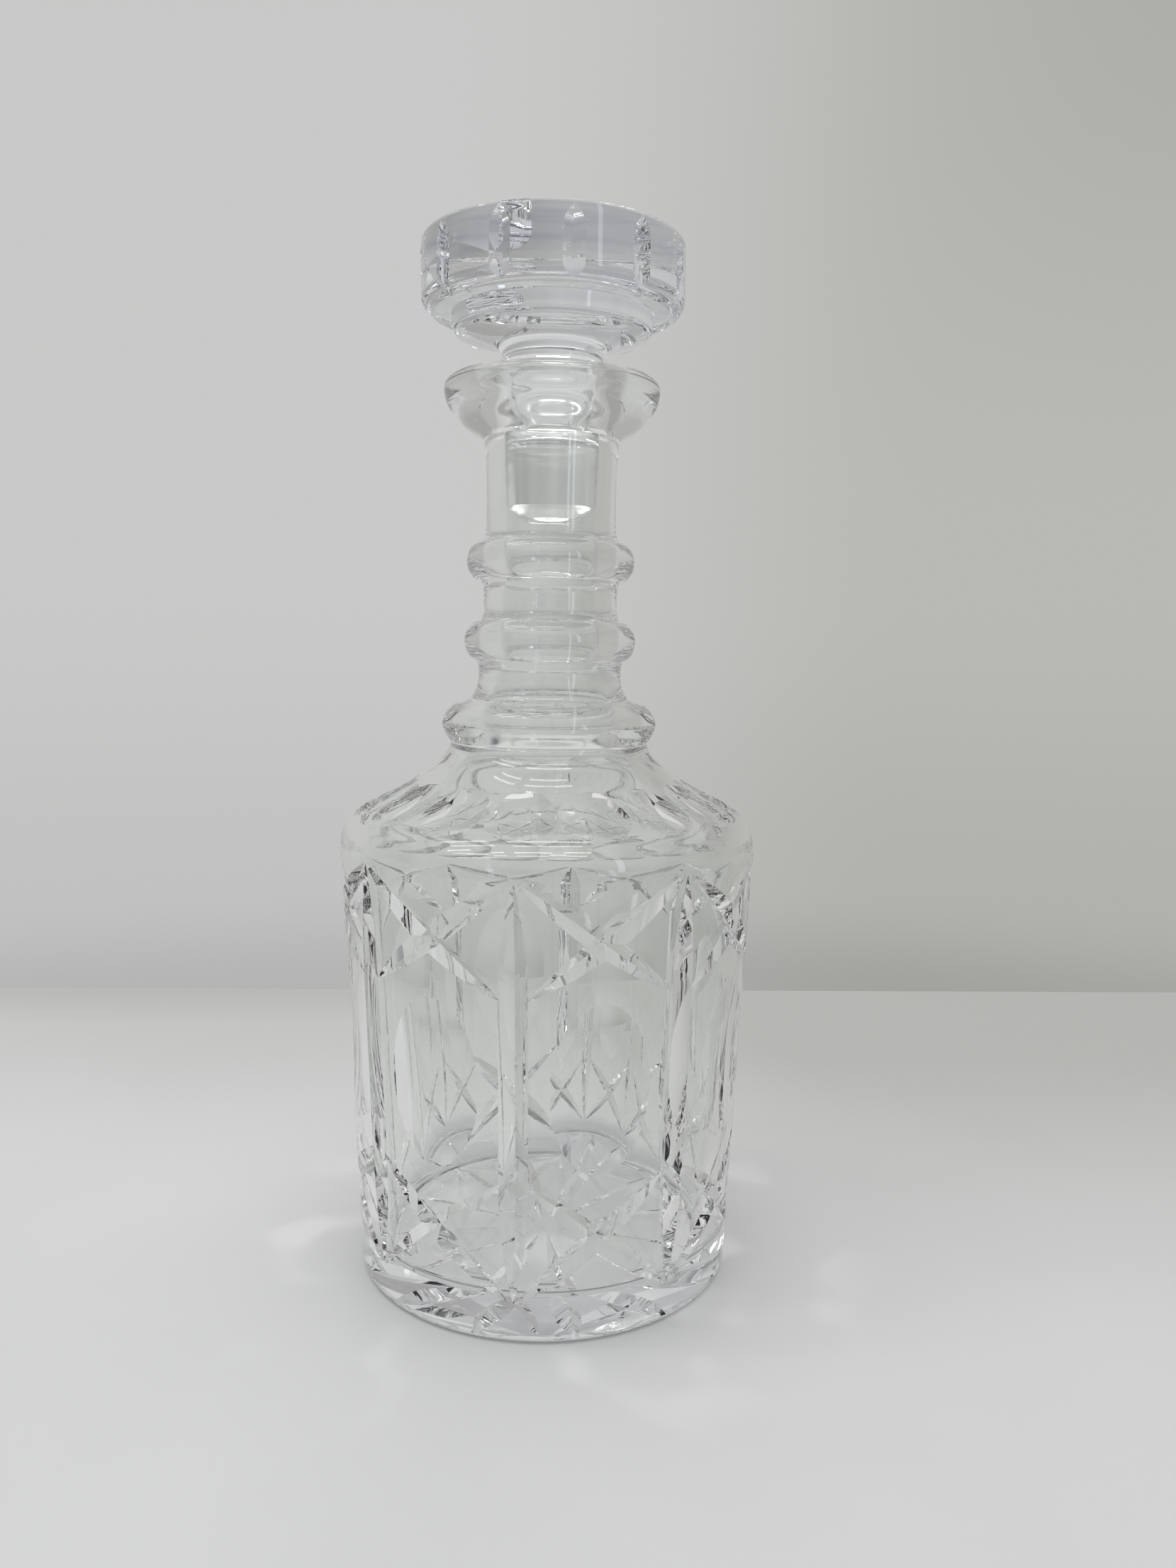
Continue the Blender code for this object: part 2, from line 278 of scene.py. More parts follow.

# %% [markdown]
# ## The table
#
# A pale laminate top that ends a hand's width behind the glass, where the wall begins. It is matt,
# with faint cloudy marks and a few specks of dust, which noise textures give without any picture.
# Its colour also holds painted shade: darker towards the back edge and to the right.
# The bottle gathers the tubes' light under its base and in soft ripples round it. Light paths that
# pass through glass and then meet a small lamp are rare, so that light is painted as a faint glow.

# %% Lay the table
TABLE_DROP = 0.0002
TABLE_BACK = 0.25
TABLE_FRONT = -2.2
TABLE_SIDE = 2.0
TOP_PALE = (0.885, 0.89, 0.90, 1.0)
TOP_CLOUD = (0.855, 0.86, 0.87, 1.0)
# The colour of the painted shade on the top's far and right parts.
TOP_PAINTED_SHADE = (0.62, 0.625, 0.605, 1.0)
DUST = (0.50, 0.49, 0.47, 1.0)
UNDER_GLOW = 0.24
ROUND_GLOW = 0.035
RIPPLE_GLOW = 0.10
BLACK = (0.0, 0.0, 0.0, 1.0)
WHITE = (1.0, 1.0, 1.0, 1.0)


def table_finish():
    material = bpy.data.materials.new("pale_laminate")
    material.use_nodes = True
    graph = Wire(material.node_tree)
    place = graph.node("ShaderNodeTexCoord", output="Object")
    clouds = place.noise(9.0, 3.0)
    dust = place.node("ShaderNodeTexVoronoi", inputs={"Vector": place, "Scale": 21.0}, output="Distance")
    speck = dust.ease(0.018, 0.010)
    depth = place.along("Y")
    across = depth.pick("X")
    # Painted shade: the top is painted darker towards its back edge and to the right, and darkest in a strip
    # along the back edge.
    painted_shade = depth.ease(0.02, 0.24) * 0.60 + depth.ease(-0.12, 0.14) * across.ease(-0.02, 0.12) * 0.62
    painted_shade = painted_shade + depth.ease(0.19, 0.25) * 0.35
    colour = clouds.ease(0.3, 0.7).blend(TOP_CLOUD, TOP_PALE)
    colour = painted_shade.blend(colour, TOP_PAINTED_SHADE)
    colour = speck.blend(colour, DUST)
    reach = from_axis(place)
    ripples = place.noise(34.0, 1.0).ease(0.52, 0.68)
    gathered = reach.ease(0.0485, 0.045) * UNDER_GLOW + reach.ease(0.20, 0.06) * ROUND_GLOW
    gathered = gathered + reach.ease(0.10, 0.052) * ripples * RIPPLE_GLOW
    shader = material.node_tree.nodes["Principled BSDF"]
    material.node_tree.links.new(colour.socket, shader.inputs["Base Color"])
    material.node_tree.links.new(gathered.blend(BLACK, WHITE).socket, shader.inputs["Emission Color"])
    shader.inputs["Emission Strength"].default_value = 1.0
    shader.inputs["Roughness"].default_value = 0.55
    return material


def table():
    bm = bmesh.new()
    corners = [(-TABLE_SIDE, TABLE_FRONT), (TABLE_SIDE, TABLE_FRONT),
               (TABLE_SIDE, TABLE_BACK), (-TABLE_SIDE, TABLE_BACK)]
    bm.faces.new([bm.verts.new((x, y, -TABLE_DROP)) for x, y in corners])
    mesh = bpy.data.meshes.new("table_top")
    bm.to_mesh(mesh)
    bm.free()
    mesh.materials.append(table_finish())
    top = bpy.data.objects.new("table_top", mesh)
    bpy.context.scene.collection.objects.link(top)


table()

# %% [markdown]
# ## Three finishes of one glass
#
# Lead crystal bends light more than window glass: its refractive index is about 1.545. The hot
# tools leave it fire-polished with a hardly visible waviness. The cuts are ground, then polished in
# acid, and keep a trace of the wheel. The foot's ring and the plug are only ground, so they are
# slightly frosted, and the foot is scuffed by years on tables. Each finish is its own material.
# The index and the full transmission are the same all over, so they sit on the shader's own sockets,
# and only tint, roughness and bump vary.
#
# The shader tints at the surface and knows nothing of thickness, so the tint depends on the place:
# faint in the wall, none near the base, deeper in the solid disc with its drawn-out streaks, and
# greyest on the foot's worn edge.

# %% Mix the finishes
CRYSTAL_INDEX = 1.545
CLEAR_TINT = (0.990, 0.996, 0.992, 1.0)
WALL_TINT = (0.945, 0.955, 0.945, 1.0)
WALL_TINT_DEEP = (0.935, 0.945, 0.938, 1.0)
DISC_TINT = (0.93, 0.935, 0.95, 1.0)
DISC_STREAK = (0.70, 0.72, 0.80, 1.0)
FOOT_TINT = (0.80, 0.805, 0.83, 1.0)
STREAK_SHAPE = (14.0, 14.0, 190.0)
FIRE_POLISH_WAVE = 0.000012
WHEEL_TRACE = 0.0000004
GRINDING_TRACE = 0.000006


def crystal(name):
    """A clear glass with its graph and shader, ready for a finish."""
    material = bpy.data.materials.new(name)
    material.use_nodes = True
    shader = material.node_tree.nodes["Principled BSDF"]
    shader.inputs["IOR"].default_value = CRYSTAL_INDEX
    shader.inputs["Transmission Weight"].default_value = 1.0
    graph = Wire(material.node_tree)
    place = graph.node("ShaderNodeTexCoord", output="Object")
    height = place.along("Z")
    tint = place.noise(14.0, 2.0).ease(0.3, 0.7).blend(WALL_TINT, WALL_TINT_DEEP)
    tint = height.ease(0.040, 0.018).blend(tint, CLEAR_TINT)
    in_disc = height.ease(0.250, 0.254) * height.ease(0.2685, 0.264)
    streaks = place.times(STREAK_SHAPE).noise(1.0, 3.0).ease(0.42, 0.62)
    disc = (streaks * in_disc).blend(DISC_TINT, DISC_STREAK)
    tint = height.ease(0.236, 0.250).blend(tint, disc)
    foot = from_axis(place).ease(0.0478, 0.0490) * height.ease(0.0155, 0.0105)
    tint = foot.blend(tint, FOOT_TINT)
    material.node_tree.links.new(tint.socket, shader.inputs["Base Color"])
    return material, place, shader


def finish_with(material, shader, roughness, height, depth):
    """Joins a finish's roughness and its height to the shader."""
    bump = height.node("ShaderNodeBump", inputs={"Strength": 1.0, "Distance": depth, "Height": height})
    links = material.node_tree.links
    links.new(roughness.socket, shader.inputs["Roughness"])
    links.new(bump.socket, shader.inputs["Normal"])
    return material


def fire_polished():
    material, place, shader = crystal("fire_polished_crystal")
    swirls = place.noise(55.0, 1.0)
    haze = swirls.ease(0.62, 0.80) * 0.02
    return finish_with(material, shader, haze, swirls, FIRE_POLISH_WAVE)


def wheel_cut():
    material, place, shader = crystal("wheel_cut_crystal")
    ripple = place.noise(160.0, 1.0)
    haze = ripple.ease(0.60, 0.80) * 0.03
    return finish_with(material, shader, haze, ripple, WHEEL_TRACE)


def ground():
    material, place, shader = crystal("ground_crystal")
    grain = place.noise(900.0, 3.0)
    scuffs = place.noise(120.0, 4.0)
    frost = 0.05 + 0.10 * scuffs.ease(0.45, 0.70)
    return finish_with(material, shader, frost, grain, GRINDING_TRACE)


FIRE_POLISHED = fire_polished()
WHEEL_CUT = wheel_cut()
GROUND = ground()
FINISHES = [FIRE_POLISHED, WHEEL_CUT, GROUND]
print("finishes:", [material.name for material in FINISHES])

# %% [markdown]
# ## Outlines
#
# Both pieces are turned shapes before they are cut. An outline is a list of points at a radius and
# a height, in millimetres. Round stretches are arcs, and the free curves of lip and shoulder pass
# smoothly through a few points, as a mould maker's template does.

# %% Draw round and flowing outlines


def arc(centre, radius, start, end, steps, height=None):
    """Points on a circle, or on an ellipse when its half height is given; degrees from +r to +z."""
    half_height = radius if height is None else height
    angles = np.radians(np.linspace(start, end, steps + 1))
    return [(centre[0] + radius * math.cos(a), centre[1] + half_height * math.sin(a)) for a in angles]


def curve(points, steps):
    """A smooth curve through the points, with this many steps between each two."""
    ends = [points[0]] + points + [points[-1]]
    result = []
    for before, start, end, after in zip(ends, ends[1:], ends[2:], ends[3:]):
        for t in np.arange(steps) / steps:
            result.append(tuple(
                0.5 * (2 * b + (c - a) * t + (2 * a - 5 * b + 4 * c - d) * t ** 2
                       + (3 * b - a - 3 * c + d) * t ** 3)
                for a, b, c, d in zip(before, start, end, after)))
    return result + [points[-1]]


def straight(start, end, steps):
    """Evenly spaced points from start up to, but not including, end."""
    return [tuple(a + (b - a) * n / steps for a, b in zip(start, end)) for n in range(steps)]


# %% [markdown]
# ## The bottle's outline
#
# The hollow is blown, so it has no sharp corner: a dished floor, a wide round corner, a straight
# wall, and a shoulder that narrows to the bore. The last stretch is the ground seat. Outside, the
# lip, three rings and the shoulder follow each other down to the tapering wall and its foot.

# %% Measure the bottle
bottle_low, bottle_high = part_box("decanter_bottle")
LIP_TOP = bottle_high[2] / MM
LIP_RADIUS = 28.1
WALL_TOP_RADIUS = (bottle_high[0] - bottle_low[0]) / 2 / MM
WALL_TOP = 113.0
FOOT_RADIUS = 50.3
FOOT_ROUND = 1.8
FOOT_HOLLOW_RADIUS = 45.5
FOOT_HOLLOW = 0.4
FLOOR = 8.5
CAVITY_FOOT_RADIUS = 44.4
CAVITY_TOP_RADIUS = 50.0
CAVITY_TOP = 111.0
CAVITY_CORNER = 4.5
SEAT_BOTTOM = 198.0
SEAT_BOTTOM_RADIUS = 11.6
SEAT_TOP_RADIUS = 13.2
MOUTH_CHAMFER = 0.5


def cavity_outline():
    """The inside, from the middle of its floor up to the mouth."""
    corner_centre = (CAVITY_FOOT_RADIUS - CAVITY_CORNER, FLOOR + 0.4 + CAVITY_CORNER)
    floor = curve([(0.0, FLOOR), (12.0, FLOOR), (24.0, FLOOR + 0.1), (36.0, FLOOR + 0.3)], 4)[:-1]
    corner = arc(corner_centre, CAVITY_CORNER, -90, 0, 14)
    wall = straight(corner[-1], (CAVITY_TOP_RADIUS, CAVITY_TOP), 24)[1:]
    shoulder = [(CAVITY_TOP_RADIUS, CAVITY_TOP), (49.8, 114.5), (48.7, 117.4), (46.2, 119.6), (42.4, 121.8),
                (36.4, 125.0), (28.6, 129.8), (23.4, 135.4)]
    bore = [(19.6, 143.0), (16.0, 151.5), (13.9, 160.0), (12.8, 172.0), (12.6, 184.0)]
    seat = straight((SEAT_BOTTOM_RADIUS, SEAT_BOTTOM), (SEAT_TOP_RADIUS, LIP_TOP - MOUTH_CHAMFER), 6)
    mouth = arc((SEAT_TOP_RADIUS + MOUTH_CHAMFER, LIP_TOP - MOUTH_CHAMFER), MOUTH_CHAMFER, 180, 90, 5)
    return floor + corner + wall + curve(shoulder + bore, 7) + seat + mouth


def outside_outline():
    """The outside, from the flat lip down to the middle of the underside."""
    lip = curve([(LIP_RADIUS - 1.5, LIP_TOP), (LIP_RADIUS - 0.3, LIP_TOP - 1.1), (LIP_RADIUS, LIP_TOP - 2.8),
                 (27.4, 229.6), (25.8, 227.4), (22.4, 223.6), (18.6, 221.5)], 7)
    neck = curve([(17.75, 220.7), (17.3, 215.4), (17.0, 204.5), (17.3, 197.2), (17.8, 195.0)], 6)
    upper_ring = arc((18.1, 189.4), 4.05, 86, -84, 34, height=5.1)
    waist = curve([(18.1, 183.6), (17.7, 181.3), (17.7, 176.6), (18.3, 174.3)], 5)
    lower_ring = arc((18.5, 168.6), 4.25, 86, -78, 34, height=5.3)
    collar = curve([(19.2, 162.0), (19.0, 160.2), (19.4, 156.8), (21.2, 153.5), (24.8, 152.2), (27.3, 150.2),
                    (28.6, 147.3), (28.1, 144.8), (26.9, 142.6)], 7)
    shoulder = curve([(26.4, 142.0), (26.4, 141.3), (27.0, 139.7), (28.3, 137.9), (30.4, 136.0), (34.5, 133.0),
                      (39.1, 130.1), (46.5, 126.3), (50.6, 124.0), (53.5, 121.3), (55.0, 118.1),
                      (WALL_TOP_RADIUS, WALL_TOP)], 7)
    wall = straight((WALL_TOP_RADIUS, WALL_TOP), (FOOT_RADIUS, FOOT_ROUND), 30)[1:]
    foot = arc((FOOT_RADIUS - FOOT_ROUND, FOOT_ROUND), FOOT_ROUND, 0, -90, 10)
    rest = [(FOOT_HOLLOW_RADIUS, 0.0), (FOOT_HOLLOW_RADIUS - 1.0, FOOT_HOLLOW)]
    underside = straight((FOOT_HOLLOW_RADIUS - 3.0, FOOT_HOLLOW), (0.0, FOOT_HOLLOW), 8) + [(0.0, FOOT_HOLLOW)]
    return lip + neck + upper_ring + waist + lower_ring + collar + shoulder + wall + foot + rest + underside


print("bottle outline:", len(cavity_outline()), "points inside,", len(outside_outline()), "outside")

# %% [markdown]
# ## Turning, and the trace of the hand
#
# Blown glass is never exactly round. Its inside follows the breath and the tools, and wanders by a
# tenth of a millimetre, which is enough to make straight lines behind it swim. The Screw modifier
# would turn a perfect shape, so the rings of points are worked out here, each with its small sway.

# %% Turn an outline
INSIDE_SWAY = 0.14
OUTSIDE_SWAY = 0.02


def sway(radius, height, angle, amount):
    """How far in the glass lies here, in millimetres: slow noise, never outwards."""
    if radius < 6.0:
        return 0.0
    spot = Vector((math.cos(angle) * 1.7, math.sin(angle) * 1.7, height / 26.0))
    return -amount * (0.5 + 0.5 * noise.noise(spot))


def turned(name, outline, inside_count, steps, finish_at):
    """A closed mesh: the outline turned round the axis. finish_at gives each band's material slot."""
    rim = outline[1:-1]
    points = [(0.0, 0.0, outline[0][1])]
    for count, (radius, height) in enumerate(rim, start=1):
        amount = INSIDE_SWAY if count < inside_count else OUTSIDE_SWAY
        for step in range(steps):
            angle = math.tau * step / steps
            out = radius + sway(radius, height, angle, amount)
            points.append((out * math.cos(angle), out * math.sin(angle), height))
    points.append((0.0, 0.0, outline[-1][1]))
    faces = []
    slots = []
    for band in range(len(rim) - 1):
        here = 1 + band * steps
        slot = finish_at(rim[band], rim[band + 1], band + 1 < inside_count)
        for step in range(steps):
            after = (step + 1) % steps
            faces.append((here + step, here + after, here + steps + after, here + steps + step))
            slots.append(slot)
    last = len(points) - 1
    for step in range(steps):
        after = (step + 1) % steps
        faces.append((0, 1 + after, 1 + step))
        faces.append((last, last - steps + step, last - steps + after))
        slots += [0, 0]
    mesh = bpy.data.meshes.new(name)
    mesh.from_pydata([tuple(c * MM for c in point) for point in points], [], faces)
    for material in FINISHES:
        mesh.materials.append(material)
    mesh.polygons.foreach_set("material_index", slots)
    bm = bmesh.new()
    bm.from_mesh(mesh)
    bmesh.ops.recalc_face_normals(bm, faces=bm.faces)
    bm.to_mesh(mesh)
    bm.free()
    piece = bpy.data.objects.new(name, mesh)
    bpy.context.scene.collection.objects.link(piece)
    print(name, "turned:", len(mesh.polygons), "faces")
    return piece


# %% [markdown]
# ## The cutter's stones
#
# Two kinds of wheel made this pattern. A V-edged wheel leaves a mitre: it is followed here by a
# triangle swept along a path, sunk as deep as the wheel was pressed. A round-faced wheel leaves an
# oval hollow: it is a shallow bowl, part of a sphere, set against the wall. All stones that don't
# touch each other are one cutter, so a few Boolean cuts make the whole pattern.

# %% Shape the stones
V_HALF_ANGLE = math.radians(53.0)
STONE_LIFT = 0.8


def outward(turn):
    """The horizontal direction at a turn in degrees, from the front towards the right."""
    angle = math.radians(turn)
    return Vector((math.sin(angle), -math.cos(angle), 0.0))


def wheel_depth(share, depth, run):
    """A wheel's depth along its cut: it enters and leaves over the run, as a share of the length."""
    edge = min(share, 1.0 - share)
    if edge >= run:
        return depth
    return depth * (1.0 - ((run - edge) / run) ** 2)


def v_stone(bm, place, depth_at, shares, lift=STONE_LIFT):
    """A V-edged wheel swept along a path. place(share) gives a point and the way the glass faces."""
    sections = []
    for share in shares:
        point, facing = place(share)
        ahead = (place(share + 0.01)[0] - place(share - 0.01)[0]).normalized()
        across = ahead.cross(facing).normalized()
        depth = depth_at(share)
        half = (depth + lift) * math.tan(V_HALF_ANGLE)
        proud = point + facing * lift
        corners = [point - facing * depth, proud - across * half, proud + across * half]
        sections.append([bm.verts.new(corner * MM) for corner in corners])
    for first, second in zip(sections, sections[1:]):
        for n in range(3):
            bm.faces.new([first[n], first[(n + 1) % 3], second[(n + 1) % 3], second[n]])
    bm.faces.new(sections[0])
    bm.faces.new(sections[-1])


def round_stone(bm, point, facing, depth, half_length, rings, spokes):
    """A round-faced wheel pressed into the glass, as a bowl under a flat lid."""
    radius = (half_length ** 2 + depth ** 2) / (2 * depth)
    reach = half_length * 1.02
    place = facing.to_track_quat('Z', 'Y').to_matrix().to_4x4()
    place.translation = point
    bottom = bm.verts.new(place @ Vector((0.0, 0.0, -depth)) * MM)
    hoops = []
    for ring in range(1, rings + 1):
        out = reach * ring / rings
        sink = radius - depth - math.sqrt(radius ** 2 - out ** 2)
        hoops.append([bm.verts.new(place @ Vector((out * math.cos(a), out * math.sin(a), sink)) * MM)
                      for a in np.linspace(0.0, math.tau, spokes, endpoint=False)])
    hoops.append([bm.verts.new(place @ Vector((reach * math.cos(a), reach * math.sin(a), STONE_LIFT)) * MM)
                  for a in np.linspace(0.0, math.tau, spokes, endpoint=False)])
    for spoke in range(spokes):
        after = (spoke + 1) % spokes
        bm.faces.new([bottom, hoops[0][after], hoops[0][spoke]])
        for inner, outer in zip(hoops, hoops[1:]):
            bm.faces.new([inner[spoke], inner[after], outer[after], outer[spoke]])
    bm.faces.new(hoops[-1])


def stone_set(name, bm, finish=WHEEL_CUT):
    """One cutter object. Its finish is what its cuts look like."""
    bmesh.ops.triangulate(bm, faces=bm.faces)
    bmesh.ops.recalc_face_normals(bm, faces=bm.faces)
    mesh = bpy.data.meshes.new(name)
    bm.to_mesh(mesh)
    bm.free()
    mesh.materials.append(finish)
    cutter = bpy.data.objects.new(name, mesh)
    bpy.context.scene.collection.objects.link(cutter)
    return cutter


def cut(piece, cutters):
    """Cuts a piece with each set of stones in turn, then puts the stones away."""
    for cutter in cutters:
        boolean = piece.modifiers.new(cutter.name, 'BOOLEAN')
        boolean.operation = 'DIFFERENCE'
        boolean.solver = 'MANIFOLD'
        boolean.object = cutter
        if hasattr(boolean, "material_mode"):
            boolean.material_mode = 'TRANSFER'
    graph = bpy.context.evaluated_depsgraph_get()
    graph.update()
    done = bpy.data.meshes.new_from_object(piece.evaluated_get(graph), depsgraph=graph)
    piece.modifiers.clear()
    piece.data = done
    for cutter in cutters:
        bpy.data.objects.remove(cutter, do_unlink=True)
    print(piece.name, "cut:", len(done.polygons), "faces")


EDGE_ANGLE = math.radians(8.5)


def polish(piece):
    """Smooth everywhere but at the cuts' edges, which stay crisp."""
    piece.data.shade_smooth()
    piece.data.set_sharp_from_angle(angle=EDGE_ANGLE)


# %% [markdown]
# ## The pattern on the wall
#
# Eight upright mitres divide the wall into panels. Each panel has a cross near the top, a tall
# oval, which cutters call an olive, and a second cross at the foot. The crosses' long arms run out
# exactly where the mitres end, so every point of the pattern is shared by three cuts.

# %% Cut positions on the wall
PANELS = 8
PANEL = 360.0 / PANELS
FIRST_MITRE = -8.2
MITRE_LOW = 10.0
MITRE_HIGH = 114.6
MITRE_DEPTH = 2.8
ARM_DEPTH = 2.3
ARM_REACH = 19.5
UPPER_CROSS_LOW = 85.7
LOWER_CROSS_HIGH = 41.0
OLIVE_HEIGHT = 63.8
OLIVE_DEPTH = 2.2
OLIVE_HALF_LENGTH = 21.2


def on_wall(turn, height):
    """A point on the tapered wall and the way the glass faces there."""
    slope = (WALL_TOP_RADIUS - FOOT_RADIUS) / (WALL_TOP - FOOT_ROUND)
    radius = FOOT_RADIUS + slope * (height - FOOT_ROUND)
    out = outward(turn)
    point = out * radius + Vector((0.0, 0.0, height))
    facing = (out - Vector((0.0, 0.0, slope))).normalized()
    return point, facing


def upright_mitres():
    bm = bmesh.new()
    run = 0.28
    entry = list(np.linspace(-0.01, run, 14))
    shares = entry + [1.0 - share for share in reversed(entry)]
    for panel in range(PANELS):
        turn = FIRST_MITRE + PANEL * panel
        v_stone(bm, lambda share: on_wall(turn, MITRE_LOW + (MITRE_HIGH - MITRE_LOW) * share),
                lambda share: wheel_depth(share, MITRE_DEPTH, run), shares)
    return stone_set("upright_mitre_stones", bm)


def crossed_arms(rising):
    bm = bmesh.new()
    side = 1.0 if rising else -1.0
    depth = ARM_DEPTH if rising else ARM_DEPTH - 0.1
    shares = list(np.linspace(-0.01, 1.01, 34 if rising else 33))
    half_panel = PANEL / 2
    for panel in range(PANELS):
        middle = FIRST_MITRE + half_panel + PANEL * panel
        upper = ((-ARM_REACH, UPPER_CROSS_LOW), (half_panel, MITRE_HIGH))
        lower = ((-half_panel, MITRE_LOW), (ARM_REACH, LOWER_CROSS_HIGH))
        for (turn_a, height_a), (turn_b, height_b) in (upper, lower):
            v_stone(bm,
                    lambda share: on_wall(middle + side * (turn_a + (turn_b - turn_a) * share),
                                          height_a + (height_b - height_a) * share),
                    lambda share: wheel_depth(share, depth, 0.5), shares)
    return stone_set("rising_arm_stones" if rising else "falling_arm_stones", bm)


def olives():
    bm = bmesh.new()
    for panel in range(PANELS):
        point, facing = on_wall(FIRST_MITRE + PANEL * (panel + 0.5), OLIVE_HEIGHT)
        round_stone(bm, point, facing, OLIVE_DEPTH, OLIVE_HALF_LENGTH, 14, 64)
    return stone_set("olive_stones", bm)


# %% [markdown]
# ## The ring of ovals and the base star
#
# Sixteen ovals stand shoulder to shoulder above the wall, and overlap a little. Under the foot a
# star of rays throws light up through the thick base. Both use the same two stones.

# %% Cut the shoulder and the base
OVALS = 16
OVAL_DEPTH = 1.5
OVAL_HALF_LENGTH = 9.9
OVAL_RADIUS = 44.2
OVAL_HEIGHT = 127.45
SHOULDER_SLOPE = math.radians(28.0)
BASE_RAYS = 12
FIRST_BASE_RAY = 9.5
BASE_RAY_REACH = 47.0
BASE_RAY_DEPTH = 2.2


def shoulder_ovals(name, first):
    """Every second oval, because neighbours overlap and one cutter's stones mustn't touch."""
    bm = bmesh.new()
    for oval in range(first, OVALS, 2):
        out = outward(FIRST_MITRE + 360.0 / OVALS * oval)
        point = out * OVAL_RADIUS + Vector((0.0, 0.0, OVAL_HEIGHT))
        facing = out * math.sin(SHOULDER_SLOPE) + Vector((0.0, 0.0, math.cos(SHOULDER_SLOPE)))
        round_stone(bm, point, facing, OVAL_DEPTH, OVAL_HALF_LENGTH, 10, 48)
    return stone_set(name, bm)


def base_star():
    bm = bmesh.new()
    down = Vector((0.0, 0.0, -1.0))
    inner = 4.0
    for ray in range(BASE_RAYS):
        out = outward(FIRST_BASE_RAY + 360.0 / BASE_RAYS * ray)
        v_stone(bm,
                lambda share: (out * (inner + (BASE_RAY_REACH - inner) * share)
                               + Vector((0.0, 0.0, FOOT_HOLLOW)), down),
                lambda share: BASE_RAY_DEPTH * (1.0 - abs(share / 0.65 - 1.0) ** 1.6 if share < 0.65
                                                else 1.0 - ((share - 0.65) / 0.35) ** 1.6),
                list(np.linspace(0.0, 1.0, 21)), lift=0.5)
    return stone_set("base_star_stones", bm)


# %% [markdown]
# ## Make the bottle
#
# The outline is turned, then cut. The seat in the neck and the ring under the foot take the ground
# finish, the rest is fire-polished, and each cut brings its own finish with it.

# %% Turn, cut and polish the bottle
TURN_STEPS = 224


def bottle_finish(start, end, inside):
    """The material slot of one band: 2 is ground, 0 is fire-polished."""
    on_seat = inside and start[1] > SEAT_BOTTOM - 0.1
    on_foot = not inside and start[1] < 0.05 and end[1] < 0.05
    return 2 if on_seat or on_foot else 0


inside_points = cavity_outline()
bottle = turned("cut_bottle", inside_points + outside_outline(), len(inside_points), TURN_STEPS, bottle_finish)
cut(bottle, [shoulder_ovals("even_oval_stones", 0), shoulder_ovals("odd_oval_stones", 1), olives(),
             upright_mitres(), crossed_arms(True), crossed_arms(False), base_star()])
polish(bottle)
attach(bottle, "bottle")
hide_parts("decanter_bottle")

# %% [markdown]
# ## Make the stopper
#
# One solid piece: a thick, flat-topped disc with twelve upright flutes, a band, a short shank, a
# slimmer waist and a plug with a domed end. The plug is ground to the seat's taper and stays a hair
# inside it.

# %% Turn, cut and polish the stopper
STOPPER_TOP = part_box("stopper")[1][2] / MM
DISC_RADIUS = 34.0
DISC_BOTTOM = 252.1
BAND_RADIUS = 26.4
BAND_BOTTOM = 247.0
SHANK_RADIUS = 12.9
WAIST_RADIUS = 10.2
PLUG_TOP = 221.6
PLUG_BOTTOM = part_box("stopper")[0][2] / MM
PLUG_END = 4.8
PLUG_GAP = 0.12
FLUTES = 12
FIRST_FLUTE = 8.0
FLUTE_DEPTH = 2.15
FLUTE_HIGH = 268.9


def plug_radius(height):
    """The plug follows the seat's taper, one small gap inside it."""
    share = (height - SEAT_BOTTOM) / (LIP_TOP - SEAT_BOTTOM)
    return SEAT_BOTTOM_RADIUS + (SEAT_TOP_RADIUS - SEAT_BOTTOM_RADIUS) * share - PLUG_GAP - INSIDE_SWAY


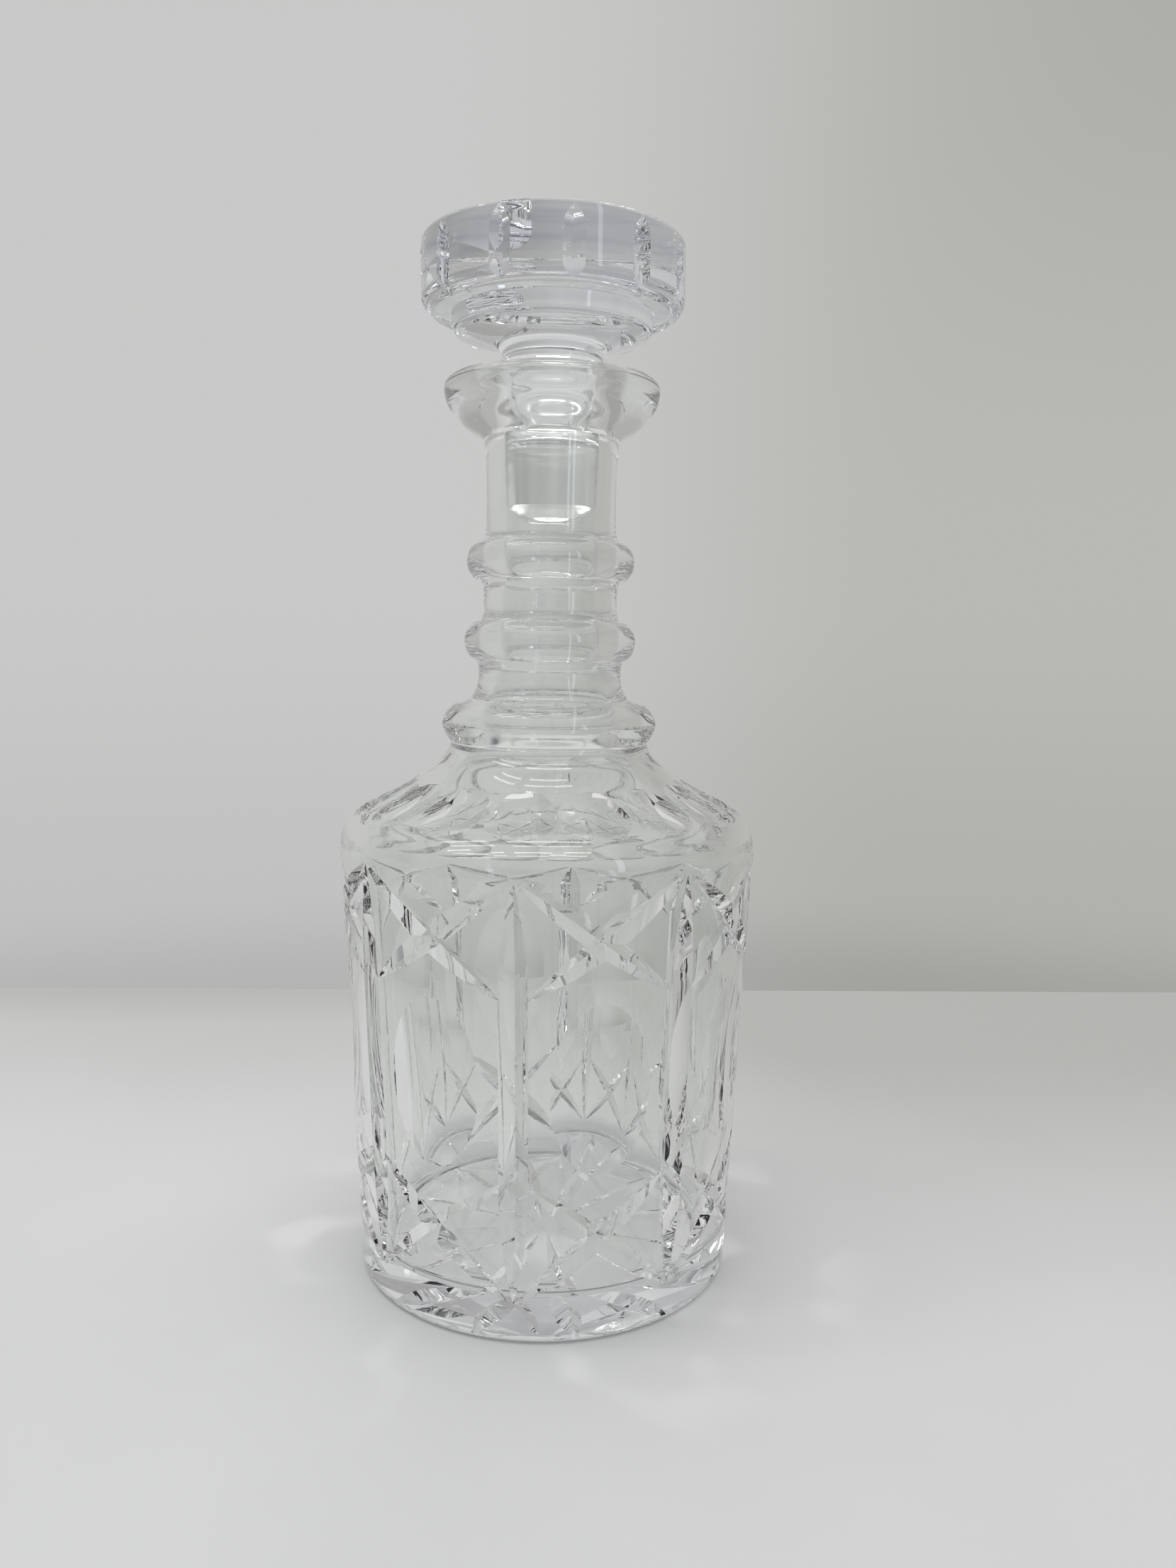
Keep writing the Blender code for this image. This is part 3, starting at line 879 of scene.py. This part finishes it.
def stopper_outline():
    """The stopper, from the middle of its flat top down to the middle of the plug's end."""
    top = straight((0.0, STOPPER_TOP), (DISC_RADIUS - 1.0, STOPPER_TOP), 8)
    rim = arc((DISC_RADIUS - 1.0, STOPPER_TOP - 1.0), 1.0, 90, 0, 6)
    side = straight((DISC_RADIUS, STOPPER_TOP - 2.0), (DISC_RADIUS, DISC_BOTTOM + 3.6), 6)
    belly = arc((DISC_RADIUS - 4.2, DISC_BOTTOM + 3.6), 4.2, 0, -90, 16, height=3.6)
    band = [(BAND_RADIUS + 0.2, DISC_BOTTOM), (BAND_RADIUS, DISC_BOTTOM - 0.2)]
    band += arc((BAND_RADIUS - 2.2, BAND_BOTTOM + 1.6), 1.6, 0, -90, 8)
    under = straight((BAND_RADIUS - 3.0, BAND_BOTTOM - 0.1), (15.4, 244.6), 4)
    shank = curve([(15.4, 244.6), (14.8, 244.1), (14.0, 243.1), (13.3, 241.4), (SHANK_RADIUS, 239.0)], 5)
    waist = curve([(12.7, 237.8), (12.1, 236.6), (11.0, 235.2), (10.3, 232.8), (WAIST_RADIUS, 229.5),
                   (10.3, 226.4), (10.9, 224.3), (12.0, 222.5), (plug_radius(PLUG_TOP), PLUG_TOP)], 4)
    side_end = (plug_radius(PLUG_BOTTOM + PLUG_END), PLUG_BOTTOM + PLUG_END)
    plug = straight((plug_radius(PLUG_TOP), PLUG_TOP), side_end, 8)
    end = curve([side_end, (10.9, PLUG_BOTTOM + 4.1), (10.2, PLUG_BOTTOM + 3.4), (9.0, PLUG_BOTTOM + 2.4),
                 (7.8, PLUG_BOTTOM + 1.6)], 4)[:-1]
    end += curve([(7.8, PLUG_BOTTOM + 1.6), (5.8, PLUG_BOTTOM + 0.8), (3.2, PLUG_BOTTOM + 0.2),
                  (0.0, PLUG_BOTTOM)], 6)
    return top + rim + side + belly + band + under + shank + waist + plug[1:] + end


def stopper_finish(start, end, inside):
    """The plug's straight side is ground; the rest is polished."""
    return 2 if PLUG_BOTTOM + PLUG_END + 0.1 < start[1] <= PLUG_TOP + 0.01 else 0


def disc_flutes():
    """The flutes start below the disc and run out, rounded, just under its upper edge."""
    bm = bmesh.new()
    low = DISC_BOTTOM - 2.0
    rise = FLUTE_HIGH - low
    for flute in range(FLUTES):
        out = outward(FIRST_FLUTE + 360.0 / FLUTES * flute)
        v_stone(bm, lambda share: (out * DISC_RADIUS + Vector((0.0, 0.0, low + rise * share)), out),
                lambda share: FLUTE_DEPTH * (1.0 - max(0.0, share - 0.7) ** 2 / 0.09),
                [0.0, 0.35, 0.7] + list(np.linspace(0.72, 1.0, 15)))
    return stone_set("disc_flute_stones", bm)


outline = stopper_outline()
stopper = turned("disc_stopper", outline, 0, 240, stopper_finish)
cut(stopper, [disc_flutes()])
polish(stopper)
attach(stopper, "stopper")
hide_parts("stopper")

# %% [markdown]
# ## How far light may travel
#
# A ray meets a dozen surfaces on its way through the bottle, so glass needs more bounces than a
# plain scene. Standard colours keep the pale greys as they are.

# %% Let light through
scene = bpy.context.scene
scene.view_settings.view_transform = 'Standard'
scene.cycles.max_bounces = 32
scene.cycles.transmission_bounces = 28
scene.cycles.glossy_bounces = 12
scene.cycles.transparent_max_bounces = 12
